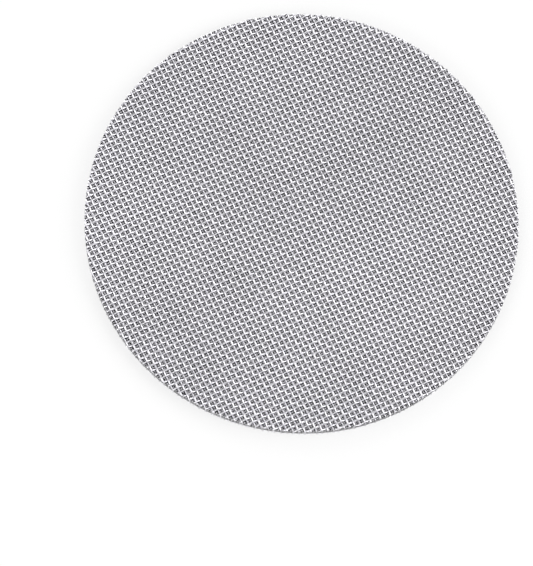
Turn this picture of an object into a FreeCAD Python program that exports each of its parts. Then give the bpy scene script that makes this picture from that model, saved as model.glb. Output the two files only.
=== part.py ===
import FreeCAD, Part
import math
import os

# Espresso puck screen: a stiff disc of woven stainless wire, its mesh layers bonded by heat into
# one piece. It lies flat, with its origin under its centre on the face that it rests on, +Z up.
# Both faces show the same plain weave: each wire passes over one crossing wire and under the next,
# so its crests stand at every second crossing. The edge is punched, and cuts every wire flush.
# The real wires lie 0.70 mm apart. The modelled ones are coarser, with the real way of weaving and
# the real share of wire to gap, and one gap in three runs right through the disc.

# Disc
disc_diameter = 58.5
disc_thickness = 1.7

# Weave
wire_pitch = 3.1  # from one wire's centre line to the next
wire_width = 1.1
crest_length = 1.8  # flat top of a wire where it passes over another
crest_height = 0.35  # from the floor of the blind gaps up to the crests

# Gaps that run right through
open_step = 3  # one gap in this many is open, along every row and every column of gaps
rim_width = 0.6  # least metal between an open gap and the edge

# Values worked out from the sizes above
disc_radius = disc_diameter / 2
middle_height = disc_thickness / 2
floor_height = disc_thickness - crest_height
root_height = (middle_height + floor_height) / 2
half_width = wire_width / 2
gap_width = wire_pitch - wire_width
outermost = math.ceil((disc_radius + half_width) / wire_pitch) - 1
wire_numbers = range(-outermost, outermost + 1)


def last_crossing(line):
    """Number of the first crossing that lies outside the disc along wire number line."""
    nearest_side = max(abs(line) * wire_pitch - half_width, 0.0)
    half_chord = math.sqrt(disc_radius ** 2 - nearest_side ** 2)
    return math.ceil(half_chord / wire_pitch) + 1


def side_view(line, along_x):
    """Side view of one wire, as (place along the wire, height): crests that slope down to the floor.

    Wires along Y pass over where the two wires' numbers add up to an even number, and wires along X
    where they add up to an odd one. A slope ends at the side of the next crossing wire.
    """
    end = last_crossing(line)
    points = []
    for crossing in range(-end, end + 1):
        if (line + crossing) % 2 != int(along_x):
            continue
        middle = crossing * wire_pitch
        foot = wire_pitch - half_width
        points.append((middle - foot, floor_height))
        points.append((middle - crest_length / 2, disc_thickness))
        points.append((middle + crest_length / 2, disc_thickness))
        points.append((middle + foot, floor_height))
    points.append((points[-1][0], root_height))
    points.append((points[0][0], root_height))
    return points


def wire(line, along_x):
    """One wire, its side view drawn out to the wire's width, with its root in the core."""
    side = line * wire_pitch - half_width
    if along_x:
        corners = [FreeCAD.Vector(place, side, height) for place, height in side_view(line, True)]
        across = FreeCAD.Vector(0, wire_width, 0)
    else:
        corners = [FreeCAD.Vector(side, place, height) for place, height in side_view(line, False)]
        across = FreeCAD.Vector(wire_width, 0, 0)
    return Part.Face(Part.makePolygon(corners + corners[:1])).extrude(across)


def open_gaps():
    """Square shafts between the wires, where the gaps run right through, clear of the edge."""
    shafts = []
    for column in wire_numbers:
        for row in wire_numbers:
            if (column + row + 1) % open_step:
                continue
            x = column * wire_pitch + half_width
            y = row * wire_pitch + half_width
            corner_x = max(abs(x), abs(x + gap_width))
            corner_y = max(abs(y), abs(y + gap_width))
            if math.hypot(corner_x, corner_y) < disc_radius - rim_width:
                corner = FreeCAD.Vector(x, y, 0)
                shafts.append(Part.makeBox(gap_width, gap_width, disc_thickness, corner))
    return shafts


def turned_over(shape):
    """A copy turned half a turn about the line along Y through the middle of the thickness."""
    copy = shape.copy()
    copy.rotate(FreeCAD.Vector(0, 0, middle_height), FreeCAD.Vector(0, 1, 0), 180)
    return copy


def puck_screen():
    """The whole disc: core plate, woven wires on both faces, punched edge, open gaps."""
    core_height = disc_thickness - 2 * crest_height
    core = Part.makeCylinder(disc_radius, core_height, FreeCAD.Vector(0, 0, crest_height))
    edge = Part.makeCylinder(disc_radius, disc_thickness)
    wires = [wire(line, along_x) for line in wire_numbers for along_x in (False, True)]
    wires += [turned_over(upper_wire) for upper_wire in wires]
    return core.multiFuse(wires).common(edge).cut(open_gaps()).removeSplitter()


os.makedirs("parts", exist_ok=True)
puck_screen().Solids[0].exportStep("parts/puck_screen.step")
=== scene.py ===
import math

import bmesh
import bpy
from bpy.props import FloatProperty, FloatVectorProperty, IntProperty, PointerProperty
from mathutils import Euler, Matrix, Vector


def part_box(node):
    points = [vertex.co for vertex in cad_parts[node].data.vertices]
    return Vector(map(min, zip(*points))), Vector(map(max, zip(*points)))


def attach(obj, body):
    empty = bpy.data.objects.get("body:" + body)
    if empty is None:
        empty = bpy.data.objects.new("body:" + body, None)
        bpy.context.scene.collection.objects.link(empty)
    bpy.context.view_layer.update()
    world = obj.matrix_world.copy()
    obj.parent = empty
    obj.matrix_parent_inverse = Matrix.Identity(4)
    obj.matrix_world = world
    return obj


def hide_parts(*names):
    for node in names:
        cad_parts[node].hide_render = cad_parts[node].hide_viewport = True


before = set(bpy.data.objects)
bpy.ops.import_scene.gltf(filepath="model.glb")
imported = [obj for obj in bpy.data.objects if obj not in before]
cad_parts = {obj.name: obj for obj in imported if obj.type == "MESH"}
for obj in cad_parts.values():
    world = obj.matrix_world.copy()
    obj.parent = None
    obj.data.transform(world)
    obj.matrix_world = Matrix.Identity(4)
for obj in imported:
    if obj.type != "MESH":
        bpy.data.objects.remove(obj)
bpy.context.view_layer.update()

# Espresso puck screen: a disc of woven stainless wire, five mesh layers bonded by heat and punched
# out round. Each face is a plain weave of coarse wires over a finer weave. The punched edge shows
# the cut ends of every layer. The coarse wires and all the cut ends are woven as geometry. The finer
# weave is relief in the steel of the inner layers, because its wires alone would need about five
# million triangles. All sizes are in metres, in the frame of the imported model.

bl_info = {
    "name": "Woven Puck Screen",
    "version": (1, 0, 0),
    "blender": (4, 5, 0),
    "location": "3D View > Sidebar > Puck Screen",
    "description": "Weaves a sintered wire-mesh disc around its packed frame",
    "category": "Add Mesh",
}

NODE = "puck_screen"
BODY = "root"

disc_low, disc_high = (Vector(corner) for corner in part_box(NODE))
disc_radius = (disc_high.x - disc_low.x) / 2
disc_thickness = disc_high.z - disc_low.z

ALONG_Y = 0.0
ALONG_X = math.pi / 2
WIRE_STEPS = 3  # straight stretches of a wire from one crossing to the next
WIRE_SIDES = 6
CORNER_LIMIT = 4.5  # a wire's side faces have fewer corners than this, its cut faces more
FINE_CREST = 1.5  # height of the fine weave's crests over its gaps, in wires
CORE_SEGMENTS = 360

# pressed-up rim of the inner layers, as (inwards, upwards) in shares of the lip: up the punched
# side, over its rounded corner, and down to the flat face
LIP_OUTLINE = ((0.0, -1.0), (0.25, 0.8), (1.0, 1.0), (2.5, 0.0))

WHITE = (1.0, 1.0, 1.0, 1.0)
FLOOR_REACH = 10.0

# soft lamps: azimuth from +X towards +Y and elevation in degrees, width in metres, power in watts
LAMPS = {
    "key_lamp": (330, 30, 1.0, 6.7),
    "back_lamp": (75, 22, 0.9, 4.7),
    "side_lamp": (205, 28, 1.0, 4.9)}


class WeaveSizes(bpy.types.PropertyGroup):
    """Sizes of the woven layers."""

    pitch: FloatProperty(
        name="Face pitch", description="From one face wire's centre line to the next",
        default=0.0007076, unit="LENGTH", precision=6)
    wire: FloatProperty(
        name="Face wire", description="Diameter of the face wires",
        default=0.00022, unit="LENGTH", precision=6)
    fine_pitch: FloatProperty(
        name="Fine pitch", description="From one wire to the next in the fine layers",
        default=0.000279, unit="LENGTH", precision=6)
    fine_wire: FloatProperty(
        name="Fine wire", description="Diameter of the wires in the fine layers",
        default=0.00009, unit="LENGTH", precision=6)
    unevenness: FloatProperty(
        name="Unevenness", description="Width of the band in which a wire wanders",
        default=0.000006, unit="LENGTH", precision=6)
    lip: FloatProperty(
        name="Rim lip", description="How far the punch has pressed the inner layers up at the rim",
        default=0.00018, unit="LENGTH", precision=6)
    recess: FloatProperty(
        name="Rim recess", description="How far the metal between the cut ends stands back",
        default=0.00003, unit="LENGTH", precision=6)
    sunk: FloatProperty(
        name="Bonding depth", description="How far the face wires have sunk into the fine layers",
        default=0.00001, unit="LENGTH", precision=6)
    stub: FloatProperty(
        name="Cut ends", description="Length of the inner layers' wire ends that are modelled",
        default=0.0003, unit="LENGTH", precision=6)
    seed: IntProperty(
        name="Seed", description="Seed of the wires' unevenness", default=7)


class SteelFinish(bpy.types.PropertyGroup):
    """Colours and gloss of the steel."""

    steel: FloatVectorProperty(
        name="Steel", description="Colour of the bright wire",
        default=(0.96, 0.951, 0.99), size=3, subtype="COLOR", min=0.0, max=1.0)
    shade: FloatVectorProperty(
        name="Gap shade", description="Colour down between the fine wires",
        default=(0.01, 0.01, 0.0103), size=3, subtype="COLOR", min=0.0, max=1.0)
    sheared: FloatVectorProperty(
        name="Sheared steel", description="Colour of the wires' cut faces",
        default=(0.45, 0.447, 0.46), size=3, subtype="COLOR", min=0.0, max=1.0)
    roughness: FloatProperty(
        name="Roughness", description="Roughness of the bright wire",
        default=0.28, min=0.0, max=1.0, subtype="FACTOR")
    sheared_roughness: FloatProperty(
        name="Sheared roughness", description="Roughness of the punched edge",
        default=0.5, min=0.0, max=1.0, subtype="FACTOR")


class StageSettings(bpy.types.PropertyGroup):
    """Camera, lamps and floor."""

    distance: FloatProperty(
        name="Camera distance", description="From the camera to the point it is aimed at",
        default=0.6195, unit="LENGTH")
    azimuth: FloatProperty(
        name="Camera azimuth", description="Direction of view, from +Y towards -X",
        default=math.radians(-34.78), subtype="ANGLE")
    elevation: FloatProperty(
        name="Camera elevation", description="Height of the camera above the horizon",
        default=math.radians(74.54), subtype="ANGLE")
    roll: FloatProperty(
        name="Camera roll", description="Turn of the camera about its line of sight",
        default=math.radians(9.33), subtype="ANGLE")
    lens: FloatProperty(
        name="Lens", description="Focal length, with the sensor along the picture's longer side",
        default=294.3, unit="CAMERA")
    sensor: FloatProperty(
        name="Sensor", description="Width of the camera's sensor", default=36.0, unit="CAMERA")
    aim: FloatVectorProperty(
        name="Aim", description="Point on the disc's top face that the camera is aimed at",
        default=(-0.00817, -0.00588, disc_thickness), size=3, subtype="TRANSLATION")
    nearest: FloatProperty(
        name="Nearest seen", description="What is nearer to the camera isn't shown",
        default=0.01, unit="LENGTH")
    lamp_distance: FloatProperty(
        name="Lamp distance", description="From the disc to each lamp", default=1.2, unit="LENGTH")
    room: FloatProperty(
        name="Room light", description="Strength of the plain light all round", default=0.66)
    floor: FloatVectorProperty(
        name="Floor", description="Colour of the floor",
        default=(0.95, 0.95, 0.95), size=3, subtype="COLOR", min=0.0, max=1.0)
    floor_glow: FloatProperty(
        name="Floor glow", description="Share of plain white in the floor that the camera sees",
        default=0.7, min=0.0, max=1.0, subtype="FACTOR")


class Bench:
    """Lays out the nodes of one tree. An input is joined to a socket or set to a value."""

    def __init__(self, tree):
        self.tree = tree

    def add(self, kind, inputs=None, **settings):
        made = self.tree.nodes.new(kind)
        for name, value in settings.items():
            setattr(made, name, value)
        for name, value in (inputs or {}).items():
            socket = made.inputs[name]
            if isinstance(value, bpy.types.NodeSocket):
                self.tree.links.new(value, socket)
            else:
                socket.default_value = value
        return made

    def maths(self, operation, *values):
        return self.add("ShaderNodeMath", dict(enumerate(values)), operation=operation).outputs[0]

    def within(self, value, limit):
        """The value, kept between minus the limit and the limit."""
        lowest = self.maths("MULTIPLY", limit, -1.0)
        return self.maths("MINIMUM", self.maths("MAXIMUM", value, lowest), limit)

    def square(self, value):
        return self.maths("POWER", value, 2.0)

    def vector(self, x=0.0, y=0.0, z=0.0):
        return self.add("ShaderNodeCombineXYZ", {"X": x, "Y": y, "Z": z}).outputs[0]

    def parts(self, vector):
        return self.add("ShaderNodeSeparateXYZ", {0: vector}).outputs


def weaving_tree():
    """Geometry nodes for one set of wires: points in rows, a crimp wave, a round wire on each row.

    The wires run along Y before the turn. Each is cut where it meets the disc's edge.
    """
    wander_scale = 900.0  # noise per metre
    least_distance = 1e-6  # from the axis, so that nothing is divided by zero

    tree = bpy.data.node_groups.new("Woven wires", "GeometryNodeTree")
    for name in ("Pitch", "Wire", "Disc Radius", "Height", "Crimp", "Turn", "Stub", "Unevenness"):
        tree.interface.new_socket(name, in_out="INPUT", socket_type="NodeSocketFloat")
    for name in ("Steps", "Sides", "Seed"):
        tree.interface.new_socket(name, in_out="INPUT", socket_type="NodeSocketInt")
    for name in ("Material", "Cut Material"):
        tree.interface.new_socket(name, in_out="INPUT", socket_type="NodeSocketMaterial")
    tree.interface.new_socket("Geometry", in_out="OUTPUT", socket_type="NodeSocketGeometry")
    bench = Bench(tree)
    maths = bench.maths
    given = bench.add("NodeGroupInput").outputs
    wire_radius = maths("DIVIDE", given["Wire"], 2.0)

    # rows of points, one row for each wire: the middle two rows lie half a pitch off the centre
    whole_wires = maths("SUBTRACT", given["Disc Radius"], given["Wire"])
    reach = maths("ROUND", maths("DIVIDE", whole_wires, given["Pitch"]))
    first_row = maths("MULTIPLY", maths("SUBTRACT", 0.5, reach), given["Pitch"])
    rows = bench.add("GeometryNodeMeshLine", {
        "Count": maths("MULTIPLY", reach, 2.0),
        "Start Location": bench.vector(x=first_row),
        "Offset": bench.vector(x=given["Pitch"])})
    step = maths("DIVIDE", given["Pitch"], given["Steps"])
    steps_out = maths("ADD", maths("CEIL", maths("DIVIDE", given["Disc Radius"], step)), 1.0)
    first_point = maths("MULTIPLY", maths("MULTIPLY", steps_out, -1.0), step)
    row = bench.add("GeometryNodeMeshLine", {
        "Count": maths("MULTIPLY_ADD", steps_out, 2.0, 1.0),
        "Start Location": bench.vector(y=first_point),
        "Offset": bench.vector(y=step)})
    placed = bench.add("GeometryNodeInstanceOnPoints", {
        "Points": rows.outputs["Mesh"], "Instance": row.outputs["Mesh"]})
    points = bench.add("GeometryNodeRealizeInstances", {"Geometry": placed.outputs["Instances"]})

    # each wire ends where its inner side meets the edge
    place = bench.add("GeometryNodeInputPosition").outputs[0]
    across, along, _ = bench.parts(place)
    inner_side = maths("MAXIMUM", maths("SUBTRACT", maths("ABSOLUTE", across), wire_radius), 0.0)
    squares = maths("SUBTRACT", bench.square(given["Disc Radius"]), bench.square(inner_side))
    half_chord = maths("SQRT", maths("MAXIMUM", squares, 0.0))
    distance = maths("ABSOLUTE", along)
    outside = maths("GREATER_THAN", distance, maths("ADD", half_chord, step))
    inside = maths("LESS_THAN", distance, maths("SUBTRACT", half_chord, given["Stub"]))
    cut = bench.add("GeometryNodeDeleteGeometry", {
        "Geometry": points.outputs[0], "Selection": maths("MAXIMUM", outside, inside)})
    ended = bench.within(along, half_chord)

    # the crimp wave, flat on its crests, and a little unevenness
    turns = maths("DIVIDE", maths("ADD", ended, across), given["Pitch"])
    wave = maths("COSINE", maths("MULTIPLY", turns, math.pi))
    beside_crest = maths("COSINE", maths("DIVIDE", math.pi / 2, given["Steps"]))
    full_crimp = maths("DIVIDE", given["Crimp"], beside_crest)
    crimp = bench.within(maths("MULTIPLY", wave, full_crimp), given["Crimp"])
    noise = bench.add("ShaderNodeTexNoise", {
        "Vector": place, "Scale": wander_scale, "Detail": 1.0,
        "W": given["Seed"]}, noise_dimensions="4D")
    wander, dip, _ = bench.parts(noise.outputs["Color"])
    side_step = maths("MULTIPLY", maths("SUBTRACT", wander, 0.5), given["Unevenness"])
    sink = maths("MULTIPLY", dip, given["Unevenness"])
    wandered = bench.vector(maths("ADD", across, side_step), ended, maths("SUBTRACT", crimp, sink))
    bent = bench.add("GeometryNodeSetPosition", {"Geometry": cut.outputs[0], "Position": wandered})

    # a round wire along each row, trimmed flush with the edge
    lines = bench.add("GeometryNodeMeshToCurve", {"Mesh": bent.outputs[0]})
    upright = bench.add("GeometryNodeSetCurveNormal", {"Curve": lines.outputs[0]}, mode="Z_UP")
    ring = bench.add("GeometryNodeCurvePrimitiveCircle", {
        "Resolution": given["Sides"], "Radius": wire_radius})
    wires = bench.add("GeometryNodeCurveToMesh", {
        "Curve": upright.outputs[0], "Profile Curve": ring.outputs[0], "Fill Caps": True})
    x, y, z = bench.parts(place)
    from_axis = maths("SQRT", maths("ADD", bench.square(x), bench.square(y)))
    overshoot = maths("DIVIDE", given["Disc Radius"], maths("MAXIMUM", from_axis, least_distance))
    share = maths("MINIMUM", overshoot, 1.0)
    trimmed = bench.vector(maths("MULTIPLY", x, share), maths("MULTIPLY", y, share), z)
    flush = bench.add("GeometryNodeSetPosition", {"Geometry": wires.outputs[0], "Position": trimmed})
    corners = bench.add("GeometryNodeInputMeshFaceNeighbors").outputs["Vertex Count"]
    smooth = bench.add("GeometryNodeSetShadeSmooth", {
        "Geometry": flush.outputs[0],
        "Selection": maths("LESS_THAN", corners, CORNER_LIMIT)})

    # into place
    turned = bench.add("GeometryNodeTransform", {
        "Geometry": smooth.outputs[0],
        "Translation": bench.vector(z=given["Height"]),
        "Rotation": bench.vector(z=given["Turn"])})
    whole = bench.add("GeometryNodeRealizeInstances", {"Geometry": turned.outputs[0]})
    drawn = bench.add("GeometryNodeSetMaterial", {
        "Geometry": whole.outputs[0], "Material": given["Material"]})
    dressed = bench.add("GeometryNodeSetMaterial", {
        "Geometry": drawn.outputs[0], "Material": given["Cut Material"],
        "Selection": maths("GREATER_THAN", corners, CORNER_LIMIT)})
    result = bench.add("NodeGroupOutput", {"Geometry": dressed.outputs[0]})
    result.is_active_output = True
    return tree


def socket_identifier(tree, name):
    """The identifier by which a modifier knows the tree's input of this name."""
    for item in tree.interface.items_tree:
        if item.item_type == "SOCKET" and item.in_out == "INPUT" and item.name == name:
            return item.identifier
    raise KeyError(name)


def seat(name, mesh):
    """A finished piece of the disc, hung on the frame's root body, with the packed disc hidden."""
    piece = bpy.data.objects.new(name, mesh)
    bpy.context.scene.collection.objects.link(piece)
    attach(piece, BODY)
    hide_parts(NODE)


def woven(name, pitch, wire, height, turn, stub):
    """A plain mesh of one set of wires, made by the weaving tree."""
    sizes = bpy.context.scene.puck_weave
    values = {
        "Pitch": pitch, "Wire": wire, "Disc Radius": disc_radius, "Height": height,
        "Crimp": wire / 2, "Turn": turn, "Stub": stub, "Unevenness": sizes.unevenness,
        "Steps": WIRE_STEPS, "Sides": WIRE_SIDES, "Seed": sizes.seed,
        "Material": material_named(bright_wire), "Cut Material": material_named(cut_face)}
    tree = bpy.data.node_groups.get("Woven wires") or weaving_tree()
    loom = bpy.data.objects.new("loom", bpy.data.meshes.new("loom"))
    bpy.context.scene.collection.objects.link(loom)
    modifier = loom.modifiers.new("Weave", "NODES")
    modifier.node_group = tree
    for key, value in values.items():
        modifier[socket_identifier(tree, key)] = value
    depsgraph = bpy.context.evaluated_depsgraph_get()
    mesh = bpy.data.meshes.new_from_object(loom.evaluated_get(depsgraph), depsgraph=depsgraph)
    empty = loom.data
    bpy.data.objects.remove(loom)
    bpy.data.meshes.remove(empty)
    mesh.name = name
    if not mesh.polygons:
        raise RuntimeError(f"no wires were woven for {name}")
    return mesh


def joined(name, meshes):
    """One mesh made of several, which all have the same materials."""
    shape = bmesh.new()
    for mesh in meshes:
        shape.from_mesh(mesh)
    whole = bpy.data.meshes.new(name)
    shape.to_mesh(whole)
    shape.free()
    for material in meshes[0].materials:
        whole.materials.append(material)
    for mesh in meshes:
        bpy.data.meshes.remove(mesh)
    return whole


def material_named(maker):
    """The material that a maker makes, made once."""
    return bpy.data.materials.get(maker.__name__) or maker()


def rgba(colour, share=1.0):
    """A share of a colour, as a node's socket takes it."""
    return tuple(share * c for c in colour) + (1.0,)


def steel_shader(name, roughness):
    """A material, its bench and a metal shader joined to the output."""
    material = bpy.data.materials.new(name)
    material.use_nodes = True
    material.node_tree.nodes.clear()
    bench = Bench(material.node_tree)
    shader = bench.add("ShaderNodeBsdfPrincipled", {"Metallic": 1.0, "Roughness": roughness})
    bench.add("ShaderNodeOutputMaterial", {"Surface": shader.outputs[0]})
    return material, bench, shader


def tint(bench, shader, factor, dark, light):
    """Gives a shader a base colour between a dark and a light one."""
    mixed = bench.add("ShaderNodeMix", {"Factor": factor, "A": dark, "B": light}, data_type="RGBA")
    bench.tree.links.new(mixed.outputs["Result"], shader.inputs["Base Color"])


def emboss(bench, shader, height, depth, strength):
    """Gives a shader a relief."""
    bump = bench.add("ShaderNodeBump", {"Height": height, "Distance": depth, "Strength": strength})
    bench.tree.links.new(bump.outputs[0], shader.inputs["Normal"])


def bright_wire():
    """Drawn stainless wire: neutral bright metal, with faint cloudy marks left by the furnace."""
    cloud_scale = 35.0  # noise per metre
    cloud_start = 0.35
    cloud_end = 0.65
    clouded = 0.9  # share of the steel's colour that the clouds leave
    grain_scale = 9000.0  # noise per metre
    gloss_spread = 0.08  # how far the roughness goes either way

    finish = bpy.context.scene.puck_finish
    material, bench, shader = steel_shader("bright_wire", finish.roughness)
    place = bench.add("ShaderNodeTexCoord").outputs["Object"]
    marks = bench.add("ShaderNodeTexNoise", {"Vector": place, "Scale": cloud_scale, "Detail": 4.0})
    clouds = bench.add("ShaderNodeMapRange", {
        "Value": marks.outputs["Fac"], "From Min": cloud_start, "From Max": cloud_end})
    tint(bench, shader, clouds.outputs[0], rgba(finish.steel, clouded), rgba(finish.steel))
    grain = bench.add("ShaderNodeTexNoise", {"Vector": place, "Scale": grain_scale, "Detail": 2.0})
    glossiest = finish.roughness - gloss_spread
    gloss = bench.maths("MULTIPLY_ADD", grain.outputs["Fac"], 2 * gloss_spread, glossiest)
    bench.tree.links.new(gloss, shader.inputs["Roughness"])
    return material


def woven_height(bench, x, y, pitch, wire):
    """Heights of a fine plain weave of round wires, from 0 in its gaps to 1 on its crests.

    In wires, a wire's middle swings from 0 to 1, and its round top adds another half.
    """
    maths = bench.maths
    places = [maths("DIVIDE", value, pitch) for value in (x, y)]
    swing = maths("MULTIPLY", *(maths("SINE", maths("MULTIPLY", p, math.pi)) for p in places))
    heights = []
    for place, side in zip(places, (0.5, -0.5)):
        aside = maths("ABSOLUTE", maths("SUBTRACT", maths("FRACT", place), 0.5))
        slant = maths("DIVIDE", aside, wire / pitch / 2)
        round_top = maths("SQRT", maths("MAXIMUM", maths("SUBTRACT", 1.0, bench.square(slant)), 0.0))
        middle = maths("MULTIPLY_ADD", swing, side, 0.5)
        top = maths("ADD", middle, maths("MULTIPLY", round_top, 0.5))
        on_wire = maths("LESS_THAN", slant, 1.0)
        heights.append(maths("MULTIPLY", maths("DIVIDE", top, FINE_CREST), on_wire))
    return maths("MAXIMUM", *heights)


def fine_mesh():
    """The finer weave seen between the face wires: its relief as bump, with painted shade in its own
    gaps and towards its troughs.
    """
    shaded_below = 0.2
    bright_above = 0.8
    relief_strength = 0.5

    scene = bpy.context.scene
    finish = scene.puck_finish
    sizes = scene.puck_weave
    material, bench, shader = steel_shader("fine_mesh", finish.roughness)
    x, y, _ = bench.parts(bench.add("ShaderNodeTexCoord").outputs["Object"])
    height = woven_height(bench, x, y, sizes.fine_pitch, sizes.fine_wire)
    # painted shade: the colour runs from the gap shade low in the weave up to the steel on its crests
    lit = bench.add("ShaderNodeMapRange", {
        "Value": height, "From Min": shaded_below, "From Max": bright_above})
    tint(bench, shader, lit.outputs[0], rgba(finish.shade), rgba(finish.steel))
    emboss(bench, shader, height, FINE_CREST * sizes.fine_wire, relief_strength)
    return material


def sheared_steel(name, dark, light):
    """Duller steel between two colours, with fine upright marks of the punch."""
    mark_scale = 6000.0  # noise per metre, round the edge
    mark_squeeze = 0.15  # share of that scale up the edge, so that the marks stand upright
    mark_depth = 0.00004
    mark_strength = 0.6

    roughness = bpy.context.scene.puck_finish.sheared_roughness
    material, bench, shader = steel_shader(name, roughness)
    x, y, z = bench.parts(bench.add("ShaderNodeTexCoord").outputs["Object"])
    upright = bench.vector(x, y, bench.maths("MULTIPLY", z, mark_squeeze))
    marks = bench.add("ShaderNodeTexNoise", {"Vector": upright, "Scale": mark_scale, "Detail": 3.0})
    tint(bench, shader, marks.outputs["Fac"], dark, light)
    emboss(bench, shader, marks.outputs["Fac"], mark_depth, mark_strength)
    return material


def cut_face():
    """The cut ends of the wires."""
    darkest = 0.6
    lightest = 1.4
    sheared = bpy.context.scene.puck_finish.sheared
    return sheared_steel("cut_face", rgba(sheared, darkest), rgba(sheared, lightest))


def punched_edge():
    """The metal between the cut ends, which stands back and lies in their shade."""
    lightest = 0.75
    finish = bpy.context.scene.puck_finish
    return sheared_steel("punched_edge", rgba(finish.shade), rgba(finish.sheared, lightest))


def turned_disc(name, outline, segments):
    """A closed mesh from an outline of (radius, height) points turned about Z."""
    shape = bmesh.new()
    rings = []
    for radius, height in outline:
        ring = []
        for n in range(segments):
            angle = 2 * math.pi * n / segments
            ring.append(shape.verts.new((radius * math.cos(angle), radius * math.sin(angle), height)))
        rings.append(ring)
    for lower, upper in zip(rings, rings[1:]):
        for n in range(segments):
            after = (n + 1) % segments
            shape.faces.new((lower[n], lower[after], upper[after], upper[n]))
    bottom = shape.verts.new((0, 0, outline[0][1]))
    top = shape.verts.new((0, 0, outline[-1][1]))
    for n in range(segments):
        after = (n + 1) % segments
        shape.faces.new((bottom, rings[0][after], rings[0][n]))
        shape.faces.new((top, rings[-1][n], rings[-1][after]))
    mesh = bpy.data.meshes.new(name)
    shape.to_mesh(mesh)
    shape.free()
    return mesh


def core_outline(sizes):
    """Side of the inner layers, as (radius, height): the punch has pressed their rim up and down."""
    face = disc_thickness - 2 * sizes.wire + sizes.sunk
    rim = disc_radius - sizes.recess
    upper = [
        (rim - inwards * sizes.lip, face + upwards * sizes.lip) for inwards, upwards in LIP_OUTLINE]
    lower = [(radius, disc_thickness - height) for radius, height in reversed(upper)]
    return lower + upper


class PUCK_OT_core(bpy.types.Operator):
    """Makes the fine layers and the middle of the disc as one close body behind the cut ends"""

    bl_idname = "puck.core"
    bl_label = "Inner layers"

    def execute(self, context):
        edge_limit = 0.5  # a face whose normal rises less than this is on the punched edge
        mesh = turned_disc("inner_layers", core_outline(context.scene.puck_weave), CORE_SEGMENTS)
        mesh.materials.append(material_named(fine_mesh))
        mesh.materials.append(material_named(punched_edge))
        for face in mesh.polygons:
            face.material_index = int(abs(face.normal.z) < edge_limit)
        seat("inner_layers", mesh)
        return {"FINISHED"}


class PUCK_OT_cut_ends(bpy.types.Operator):
    """Adds the cut wire ends of the inner layers round the punched edge"""

    bl_idname = "puck.cut_ends"
    bl_label = "Cut ends"

    def execute(self, context):
        sizes = context.scene.puck_weave
        fine_height = 2 * sizes.wire + sizes.fine_wire
        # the middle layer is two wires thick and fills what the other four layers leave
        middle_wire = (disc_thickness - 2 * fine_height - 2 * sizes.fine_wire) / 2
        layers = [
            (sizes.fine_pitch, sizes.fine_wire, fine_height),
            (sizes.pitch, middle_wire, disc_thickness / 2),
            (sizes.fine_pitch, sizes.fine_wire, disc_thickness - fine_height)]
        meshes = []
        for pitch, wire, height in layers:
            for turn in (ALONG_Y, ALONG_X):
                meshes.append(woven("ends", pitch, wire, height, turn, sizes.stub))
        seat("cut_ends", joined("cut_ends", meshes))
        return {"FINISHED"}


class PUCK_OT_face_wires(bpy.types.Operator):
    """Weaves the coarse wires of the upper and the lower face"""

    bl_idname = "puck.face_wires"
    bl_label = "Face wires"

    def execute(self, context):
        sizes = context.scene.puck_weave
        for face, height in (("upper", disc_thickness - sizes.wire), ("lower", sizes.wire)):
            for direction, turn in (("along_y", ALONG_Y), ("along_x", ALONG_X)):
                name = f"{face}_wires_{direction}"
                seat(name, woven(name, sizes.pitch, sizes.wire, height, turn, disc_radius))
        return {"FINISHED"}


class PUCK_OT_stage(bpy.types.Operator):
    """Sets up the floor, the lamps, the room light and the camera"""

    bl_idname = "puck.stage"
    bl_label = "Stage"

    def execute(self, context):
        scene = context.scene
        stage = scene.puck_stage
        make_floor(stage)
        make_lamps(stage)
        make_room(scene, stage)
        make_camera(scene, stage)
        scene.view_settings.view_transform = "Standard"
        return {"FINISHED"}


def make_floor(stage):
    """A wide plain floor. The camera sees it near white, with the disc's shadow on it."""
    mesh = bpy.data.meshes.new("floor")
    corners = [(-FLOOR_REACH, -FLOOR_REACH), (FLOOR_REACH, -FLOOR_REACH)]
    corners += [(-x, -y) for x, y in corners]
    mesh.from_pydata([(x, y, 0.0) for x, y in corners], [], [(0, 1, 2, 3)])
    floor = bpy.data.objects.new("floor", mesh)
    bpy.context.scene.collection.objects.link(floor)
    material = bpy.data.materials.new("pale_floor")
    material.use_nodes = True
    material.node_tree.nodes.clear()
    bench = Bench(material.node_tree)
    matt = bench.add("ShaderNodeBsdfDiffuse", {"Color": rgba(stage.floor)})
    white = bench.add("ShaderNodeEmission", {"Color": WHITE, "Strength": 1.0})
    path = bench.add("ShaderNodeLightPath").outputs
    seen = bench.maths("MAXIMUM", path["Is Camera Ray"], path["Is Glossy Ray"])
    seen = bench.maths("MAXIMUM", seen, path["Is Transmission Ray"])
    share = bench.maths("MULTIPLY", seen, stage.floor_glow)
    mixed = bench.add("ShaderNodeMixShader", {0: share, 1: matt.outputs[0], 2: white.outputs[0]})
    bench.add("ShaderNodeOutputMaterial", {"Surface": mixed.outputs[0]})
    mesh.materials.append(material)


def make_lamps(stage):
    """Large soft lamps low round the disc, so that the slopes of the wires catch them."""
    for name, (azimuth, elevation, width, power) in LAMPS.items():
        data = bpy.data.lights.new(name, "AREA")
        data.shape = "DISK"
        data.size = width
        data.energy = power
        lamp = bpy.data.objects.new(name, data)
        turn = Euler((0.0, math.radians(90 - elevation), math.radians(azimuth)))
        towards_lamp = turn.to_matrix().col[2]
        lamp.location = towards_lamp * stage.lamp_distance
        lamp.rotation_euler = towards_lamp.to_track_quat("Z", "Y").to_euler()
        lamp.visible_camera = False
        bpy.context.scene.collection.objects.link(lamp)


def make_room(scene, stage):
    """Plain light from all round."""
    world = bpy.data.worlds.new("room")
    scene.world = world
    world.use_nodes = True
    world.node_tree.nodes.clear()
    bench = Bench(world.node_tree)
    glow = bench.add("ShaderNodeBackground", {"Color": WHITE, "Strength": stage.room})
    bench.add("ShaderNodeOutputWorld", {"Surface": glow.outputs[0]})


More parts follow.
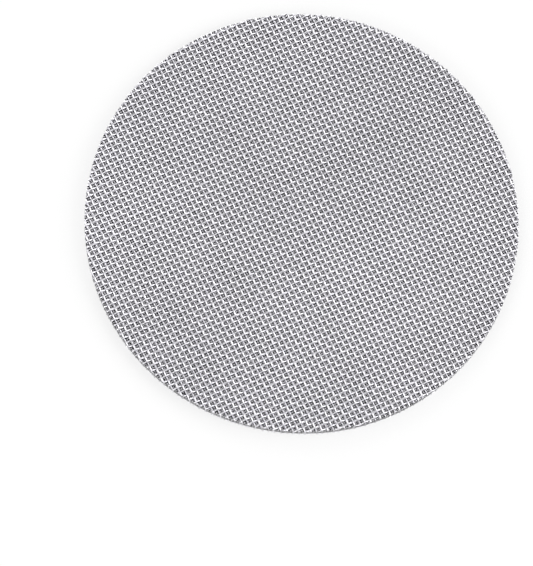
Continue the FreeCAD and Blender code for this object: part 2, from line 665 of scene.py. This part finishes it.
def make_camera(scene, stage):
    """A long lens from above, turned as the photograph's camera was."""
    data = bpy.data.cameras.new("camera")
    data.lens = stage.lens
    data.sensor_width = stage.sensor
    data.clip_start = stage.nearest
    camera = bpy.data.objects.new("camera", data)
    scene.collection.objects.link(camera)
    tilt = Euler((math.pi / 2 - stage.elevation, 0.0, stage.azimuth)).to_matrix()
    turn = tilt @ Matrix.Rotation(stage.roll, 3, "Z")
    place = Vector(stage.aim) + tilt.col[2] * stage.distance
    camera.matrix_world = Matrix.Translation(place) @ turn.to_4x4()
    scene.camera = camera


class PUCK_PT_panel(bpy.types.Panel):
    """Lists the steps that make the disc, and their settings"""

    bl_idname = "PUCK_PT_panel"
    bl_label = "Puck Screen"
    bl_space_type = "VIEW_3D"
    bl_region_type = "UI"
    bl_category = "Puck Screen"

    def draw(self, context):
        for operator in OPERATORS:
            self.layout.operator(operator.bl_idname)
        for group in GROUPS:
            settings = getattr(context.scene, group)
            box = self.layout.box()
            for name in settings.bl_rna.properties.keys():
                if name not in ("rna_type", "name"):
                    box.prop(settings, name)


GROUPS = {"puck_weave": WeaveSizes, "puck_finish": SteelFinish, "puck_stage": StageSettings}
OPERATORS = (PUCK_OT_core, PUCK_OT_cut_ends, PUCK_OT_face_wires, PUCK_OT_stage)


def register():
    """Registers the settings, the operators and the panel."""
    for name, group in GROUPS.items():
        bpy.utils.register_class(group)
        setattr(bpy.types.Scene, name, PointerProperty(type=group))
    for operator in OPERATORS:
        bpy.utils.register_class(operator)
    bpy.utils.register_class(PUCK_PT_panel)


def unregister():
    """Takes away what register added."""
    bpy.utils.unregister_class(PUCK_PT_panel)
    for operator in reversed(OPERATORS):
        bpy.utils.unregister_class(operator)
    for name, group in GROUPS.items():
        delattr(bpy.types.Scene, name)
        bpy.utils.unregister_class(group)


def main():
    """Makes the disc and its stage."""
    register()
    bpy.ops.puck.core()
    bpy.ops.puck.cut_ends()
    bpy.ops.puck.face_wires()
    bpy.ops.puck.stage()


if __name__ == "__main__":
    main()
